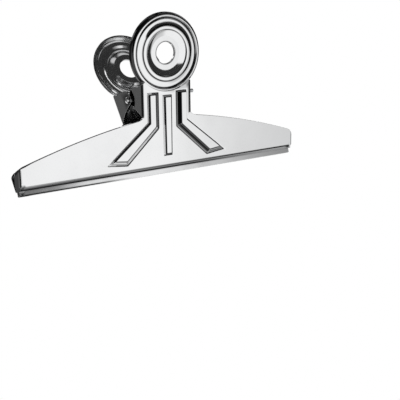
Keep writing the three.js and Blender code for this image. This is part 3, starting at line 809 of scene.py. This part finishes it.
def chrome(name, colour, roughness, marks):
    """Bright plate with faint marks of handling: patches a little duller, and a barely uneven face."""
    material = bpy.data.materials.new(name)
    material.use_nodes = True
    tree = material.node_tree
    shader = tree.nodes["Principled BSDF"]
    shader.inputs["Metallic"].default_value = 1.0
    coordinates = tree.nodes.new("ShaderNodeTexCoord")
    group = tree.nodes.new("ShaderNodeGroup")
    group.node_tree = marks
    group.inputs["Colour"].default_value = (*colour, 1)
    group.inputs["Roughness"].default_value = roughness
    join(
        tree, (coordinates, "Object", group, "Place"), (group, "Colour", shader, "Base Color"),
        (group, "Roughness", shader, "Roughness"), (group, "Normal", shader, "Normal"),
    )
    return material


def darken_by_painted_shade(material):
    """Paints shade: darkens a material's colour where the piece's painted shade attribute says so."""
    tree = material.node_tree
    shader = tree.nodes["Principled BSDF"]
    group = shader.inputs["Base Color"].links[0].from_node
    painted_dark = tree.nodes.new("ShaderNodeAttribute")
    painted_dark.attribute_name = "painted_shade"
    darker = tree.nodes.new("ShaderNodeMix")
    darker.data_type = "RGBA"
    # near-black colour of the painted shade
    darker.inputs["B"].default_value = (0.012, 0.012, 0.013, 1)
    join(
        tree, (painted_dark, "Fac", darker, "Factor"), (group, "Colour", darker, "A"),
        (darker, "Result", shader, "Base Color"),
    )


def handling_marks():
    """Node group: where plated metal was touched and rubbed, it is a little duller and darker."""
    tree, given, result = new_group(
        "handling marks", "ShaderNodeTree",
        ("Place", "INPUT", "Vector"), ("Colour", "INPUT", "Color"), ("Roughness", "INPUT", "Float"),
        ("Colour", "OUTPUT", "Color"), ("Roughness", "OUTPUT", "Float"), ("Normal", "OUTPUT", "Vector"),
    )
    smudges, fine = tree.nodes.new("ShaderNodeTexNoise"), tree.nodes.new("ShaderNodeTexNoise")
    for noise, scale, detail in ((smudges, 90, 4), (fine, 1400, 3)):
        noise.inputs["Scale"].default_value = scale
        noise.inputs["Detail"].default_value = detail
    duller = ranged(tree, smudges.outputs["Fac"], 0.45, 0.8, 1.0, 2.2)
    shade = ranged(tree, smudges.outputs["Fac"], 0.4, 0.85, 1.0, 0.94)
    roughness = tree.nodes.new("ShaderNodeMath")
    roughness.operation = "MULTIPLY"
    tinted = tree.nodes.new("ShaderNodeVectorMath")
    tinted.operation = "SCALE"
    bump = tree.nodes.new("ShaderNodeBump")
    bump.inputs["Strength"].default_value = 0.05
    bump.inputs["Distance"].default_value = 0.00002
    join(
        tree, (given, "Place", smudges, "Vector"), (given, "Place", fine, "Vector"),
        (duller, "Result", roughness, 0), (given, "Roughness", roughness, 1),
        (roughness, "Value", result, "Roughness"), (given, "Colour", tinted, 0),
        (shade, "Result", tinted, "Scale"), (tinted, "Vector", result, "Colour"),
        (fine, "Fac", bump, "Height"), (bump, "Normal", result, "Normal"),
    )
    return tree


marks = handling_marks()
leaf_chrome = chrome("leaf chrome", (0.88, 0.885, 0.89), 0.07, marks)
darken_by_painted_shade(leaf_chrome)
front_stamping = make_leaf("front_stamping", False)
back_stamping = make_leaf("back_stamping", True)
for stamping in (front_stamping, back_stamping):
    stamping.data.materials.append(leaf_chrome)
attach(front_stamping, "front_part")
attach(back_stamping, "back_part")
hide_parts("front_leaf")
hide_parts("back_leaf")

# The hinge pin. A turned rivet of plated steel through all four ears, with a low domed head at each
# end. It stays with the back leaf, and the front leaf turns on it.
pin_radius = 0.95
head_radius = 1.35
head_height = 0.85
head_edge = 0.1
head_steps = 12
pin_steps = 64
shoulder = half_neck + running_gap


def pin_profile():
    """Half of the pin's section, as distance along its axis and radius."""
    head = [
        (shoulder, pin_radius), (shoulder, head_radius - head_edge),
        (shoulder + 0.03, head_radius - 0.03), (shoulder + head_edge, head_radius),
    ]
    dome = head_height - head_edge
    for k in range(1, head_steps):
        turn = math.pi / 2 * k / head_steps
        head.append((shoulder + head_edge + dome * math.sin(turn), head_radius * math.cos(turn)))
    return head


def make_pin():
    """Turns the pin's section round its axis, with one point at the tip of each head."""
    half = pin_profile()
    section = [(-x, r) for x, r in half[::-1]] + half
    vertices = [(-(shoulder + head_height), 0, 0)]
    for x, r in section:
        for k in range(pin_steps):
            turn = 2 * math.pi * k / pin_steps
            vertices.append((x, r * math.cos(turn), r * math.sin(turn)))
    vertices.append((shoulder + head_height, 0, 0))
    last = len(vertices) - 1
    polygons = []
    for k in range(pin_steps):
        nxt = (k + 1) % pin_steps
        polygons.append((0, 1 + nxt, 1 + k))
        for row in range(len(section) - 1):
            a = 1 + row * pin_steps
            b = a + pin_steps
            polygons.append((a + k, a + nxt, b + nxt, b + k))
        end = 1 + (len(section) - 1) * pin_steps
        polygons.append((last, end + k, end + nxt))
    mesh = bpy.data.meshes.new("rivet_pin")
    mesh.from_pydata([(x / 1000, y / 1000, (z + pin_level) / 1000) for x, y, z in vertices], [], polygons)
    mesh.shade_smooth()
    mesh.set_sharp_from_angle(angle=math.radians(50))
    return add_object("rivet_pin", mesh)


rivet_pin = make_pin()
rivet_pin.data.materials.append(chrome("pin chrome", (0.86, 0.865, 0.87), 0.1, marks))
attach(rivet_pin, "back_part")
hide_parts("hinge_pin")

# The torsion spring. Five turns of bright 1.4 mm spring wire round the pin. One arm lies against the
# back leaf, and the other ends in a hook through the front leaf's flange, so it twists with the hinge.
wire_radius = 0.7
coil_radius = 2.3
coil_pitch = 2.2
coil_turns = 5
hook_reach = 1.7
back_arm_height = 30.3
arm_bend = 1.3
turn_steps = 28
bend_steps = 12
wire_sides = 20


def wire_line():
    """The middle line of the wire in millimetres, and half the length of the coil."""
    wall = sheet + running_gap + wire_radius

    def on_leaf(height, side):
        out = side * (plate_offset + height * math.sin(lean) - wall * math.cos(lean))
        up = lip_drop + height * math.cos(lean) + wall * math.sin(lean)
        return np.array([0, out, up - pin_level])

    def leaving(point, turn):
        """The angle at which a straight arm to this point leaves the coil."""
        away = math.hypot(point[1], point[2])
        return math.atan2(point[2], point[1]) + turn * math.acos(coil_radius / away)

    back_tip, hook = on_leaf(back_arm_height, 1), on_leaf(hook_height, -1)
    start, end = leaving(back_tip, -1), leaving(hook, 1)
    while end > start:
        end -= 2 * math.pi
    end -= 2 * math.pi * (coil_turns - (1 if start - end > math.pi else 0))
    half_coil = coil_pitch * (start - end) / (4 * math.pi)
    points = [np.array([-half_coil, back_tip[1], back_tip[2]])]
    steps = round(turn_steps * (start - end) / (2 * math.pi))
    for i in range(steps + 1):
        share = i / steps
        angle = start + (end - start) * share
        x = half_coil * (2 * share - 1)
        points.append(np.array([x, coil_radius * math.cos(angle), coil_radius * math.sin(angle)]))
    corner = np.array([half_coil, hook[1], hook[2]])
    along = corner - points[-1]
    along /= np.linalg.norm(along)
    for i in range(bend_steps + 1):
        turn = math.pi / 2 * i / bend_steps
        sideways = (arm_bend * (1 - math.cos(turn)), 0, 0)
        points.append(corner - along * arm_bend * (1 - math.sin(turn)) + sideways)
    points.append(np.array([half_neck + hook_reach, hook[1], hook[2]]))
    return [p + (0, 0, pin_level) for p in points], half_coil


def wire_tree(material):
    """Geometry nodes: a round wire of a given radius drawn along the object's line of edges."""
    tree, given, result = new_group(
        "drawn wire", "GeometryNodeTree", ("Geometry", "INPUT", "Geometry"),
        ("Wire Radius", "INPUT", "Float"), ("Sides", "INPUT", "Int"), ("Geometry", "OUTPUT", "Geometry"),
    )
    line = tree.nodes.new("GeometryNodeMeshToCurve")
    circle = tree.nodes.new("GeometryNodeCurvePrimitiveCircle")
    sweep = tree.nodes.new("GeometryNodeCurveToMesh")
    sweep.inputs["Fill Caps"].default_value = True
    smooth_shade = tree.nodes.new("GeometryNodeSetShadeSmooth")
    realize = tree.nodes.new("GeometryNodeRealizeInstances")
    finish = tree.nodes.new("GeometryNodeSetMaterial")
    finish.inputs["Material"].default_value = material
    join(
        tree, (given, "Geometry", line, "Mesh"), (given, "Sides", circle, "Resolution"),
        (given, "Wire Radius", circle, "Radius"), (line, "Curve", sweep, "Curve"),
        (circle, "Curve", sweep, "Profile Curve"), (sweep, "Mesh", smooth_shade, "Geometry"),
        (smooth_shade, "Geometry", realize, "Geometry"), (realize, "Geometry", finish, "Geometry"),
        (finish, "Geometry", result, "Geometry"),
    )
    return tree


def make_spring(material):
    """Draws the wire along its middle line and keeps the result as a plain mesh."""
    points, half_coil = wire_line()
    guide = bpy.data.meshes.new("wire guide")
    links = [(i, i + 1) for i in range(len(points) - 1)]
    guide.from_pydata([tuple(p / 1000) for p in points], links, [])
    obj = add_object("wound_spring", guide)
    tree = wire_tree(material)
    modifier = obj.modifiers.new("drawn wire", "NODES")
    modifier.node_group = tree
    sizes = {"Wire Radius": wire_radius / 1000, "Sides": wire_sides}
    for item in tree.interface.items_tree:
        if item.in_out == "INPUT" and item.name in sizes:
            modifier[item.identifier] = sizes[item.name]
    bpy.context.view_layer.update()
    evaluated = obj.evaluated_get(bpy.context.evaluated_depsgraph_get())
    drawn = bpy.data.meshes.new_from_object(evaluated)
    obj.modifiers.clear()
    obj.data = drawn
    return obj, half_coil


wound_spring, half_coil = make_spring(chrome("spring steel", (0.62, 0.63, 0.65), 0.22, marks))
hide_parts("torsion_spring")
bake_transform(wound_spring)

# The studio: a pale table top, a white background for the camera, and one soft lamp. What the bright
# plate mirrors is drawn into the world by direction: dark walls with soft pale cards in them.
table_half = 0.9
table_level = -0.00005


def table_material():
    """A pale top that is seen white from above, keeps the clip's shadow, and isn't seen from below."""
    material = bpy.data.materials.new("table top")
    material.use_nodes = True
    tree = material.node_tree
    shader = tree.nodes["Principled BSDF"]
    shader.inputs["Base Color"].default_value = (0.92, 0.92, 0.92, 1)
    shader.inputs["Roughness"].default_value = 0.8
    white = tree.nodes.new("ShaderNodeEmission")
    path = tree.nodes.new("ShaderNodeLightPath")
    geometry = tree.nodes.new("ShaderNodeNewGeometry")
    clear = tree.nodes.new("ShaderNodeBsdfTransparent")
    share = tree.nodes.new("ShaderNodeMath")
    share.operation = "MULTIPLY"
    share.inputs[1].default_value = 0.6
    lit, seen = tree.nodes.new("ShaderNodeMixShader"), tree.nodes.new("ShaderNodeMixShader")
    join(
        tree, (path, "Is Camera Ray", share, 0), (share, "Value", lit, "Fac"), (shader, "BSDF", lit, 1),
        (white, "Emission", lit, 2), (geometry, "Backfacing", seen, "Fac"), (lit, "Shader", seen, 1),
        (clear, "BSDF", seen, 2), (seen, "Shader", tree.nodes["Material Output"], "Surface"),
    )
    return material


table_mesh = bpy.data.meshes.new("table")
corners = [(x * table_half, y * table_half, table_level) for x, y in ((-1, -1), (1, -1), (1, 1), (-1, 1))]
table_mesh.from_pydata(corners, [], [(0, 1, 2, 3)])
table_mesh.materials.append(table_material())
table = add_object("table", table_mesh)
table.visible_glossy = False

world = bpy.data.worlds.new("studio")
bpy.context.scene.world = world
world.use_nodes = True
nodes, links = world.node_tree.nodes, world.node_tree.links
background = nodes["Background"]
path = nodes.new("ShaderNodeLightPath")
direction = nodes.new("ShaderNodeTexCoord")
split = nodes.new("ShaderNodeSeparateXYZ")
links.new(direction.outputs["Generated"], split.inputs["Vector"])


def world_math(operation, first, second):
    """One sum of two numbers, each of them a socket or a plain value."""
    node = nodes.new("ShaderNodeMath")
    node.operation = operation
    for socket, value in zip(node.inputs, (first, second)):
        if isinstance(value, (int, float)):
            socket.default_value = value
        else:
            links.new(value, socket)
    return node.outputs["Value"]


def soft_step(value, start, end, low, high):
    """Goes softly from low to high while value goes from start to end."""
    node = ranged(world.node_tree, value, start, end, low, high)
    node.interpolation_type = "SMOOTHSTEP"
    return node.outputs["Result"]


def card(towards, outer_degrees, inner_degrees, brightness):
    """A soft round patch of the surround, seen in that direction within that angle."""
    dot = nodes.new("ShaderNodeVectorMath")
    dot.operation = "DOT_PRODUCT"
    links.new(direction.outputs["Generated"], dot.inputs[0])
    dot.inputs[1].default_value = Vector(towards).normalized()
    edges = math.cos(math.radians(outer_degrees)), math.cos(math.radians(inner_degrees))
    return soft_step(dot.outputs["Value"], *edges, 0.0, brightness)


# a white table top in front and below, which ends at the horizon and dims to the right and behind
along, across, up = split.outputs["X"], split.outputs["Y"], split.outputs["Z"]
horizon = world_math("ADD", up, world_math("MULTIPLY", along, 0.25))
right_up = world_math("ADD", along, world_math("MULTIPLY", across, 0.6))
white_top = card((0.35, -0.75, -0.56), 57, 53, 1.0)
for step in (
    (horizon, 0.06, -0.02, 0.0, 1.0), (along, 0.5, 0.66, 0.98, 0.7),
    (right_up, 0.74, 0.8, 1.0, 0.02), (across, -0.3, 0.0, 1.0, 0.45), (across, 0.0, 0.2, 1.0, 0.5),
):
    white_top = world_math("MULTIPLY", white_top, soft_step(*step))

# a low lamp at the front right, cut off above and below
low_lamp = card((0.515, -0.857, 0.02), 14, 12, 1.0)
for step in (
    (along, 0.4, 0.445, 0.2, 0.88), (along, 0.5, 0.66, 1.0, 0.3), (up, 0.06, 0.09, 1.0, 0.0),
    (up, -0.02, -0.06, 1.0, 0.0),
):
    low_lamp = world_math("MULTIPLY", low_lamp, soft_step(*step))

# soft cards: flanges, pin, from behind, from the sides below and level, and four lamps from above;
# each is its direction, its outer and inner angle, and its brightness
cards = [
    ((-0.549, 0.836, -0.016), 45, 15, 0.09), ((-0.4, 0.65, 0.65), 12, 7, 1.0),
    ((0.0, 0.75, -0.6), 50, 38, 0.75), ((-0.85, 0.0, -0.5), 36, 26, 0.7),
    ((0.85, 0.3, -0.45), 22, 14, 0.7), ((-0.98, 0.1, 0.1), 24, 12, 0.35),
    ((0.93, 0.3, 0.2), 16, 8, 0.35), ((0.1, 0.5, 0.86), 20, 10, 0.35),
    ((0.82, 0.07, 0.55), 15, 9, 1.6), ((0.05, -0.42, 0.9), 11, 6, 0.6),
    ((0.52, -0.25, 0.82), 18, 10, 0.55),
]
mirror_light = soft_step(across, -0.9, 0.3, 0.03, 0.02)
for part in [white_top, low_lamp] + [card(*values) for values in cards]:
    mirror_light = world_math("MAXIMUM", mirror_light, part)

# glossy rays see the cards, the camera sees white, and all else is lit by an even pale grey
mirrored, seen = nodes.new("ShaderNodeMix"), nodes.new("ShaderNodeMix")
mirrored.data_type = seen.data_type = "RGBA"
mirrored.inputs["A"].default_value = (0.85, 0.85, 0.85, 1)
links.new(mirror_light, mirrored.inputs["B"])
seen.inputs["B"].default_value = (1, 1, 1, 1)
join(
    world.node_tree, (path, "Is Glossy Ray", mirrored, "Factor"), (path, "Is Camera Ray", seen, "Factor"),
    (mirrored, "Result", seen, "A"), (seen, "Result", background, "Color"),
)

key = bpy.data.lights.new("key", "AREA")
key.energy = 4
key.size = 0.6
key_lamp = add_object("key", key)
key_lamp.location = (-0.25, -0.45, 0.75)
to_clip = Vector((0, 0, 0.03)) - Vector(key_lamp.location)
key_lamp.rotation_euler = to_clip.to_track_quat("-Z", "Y").to_euler()
key_lamp.visible_glossy = False

# the camera stands where it was fitted to the outlines of the real clip
camera_data = bpy.data.cameras.new("camera")
camera_data.lens = 77.4226
camera_data.sensor_width = camera_data.sensor_height = 36
camera_data.clip_start = 0.01
camera = add_object("camera", camera_data)
camera.location = (-0.175603, -0.2873546, -0.0073246)
camera.rotation_euler = (math.radians(89.055924), math.radians(10.348433), math.radians(-33.454893))
bpy.context.scene.camera = camera
bpy.context.scene.view_settings.view_transform = "Standard"
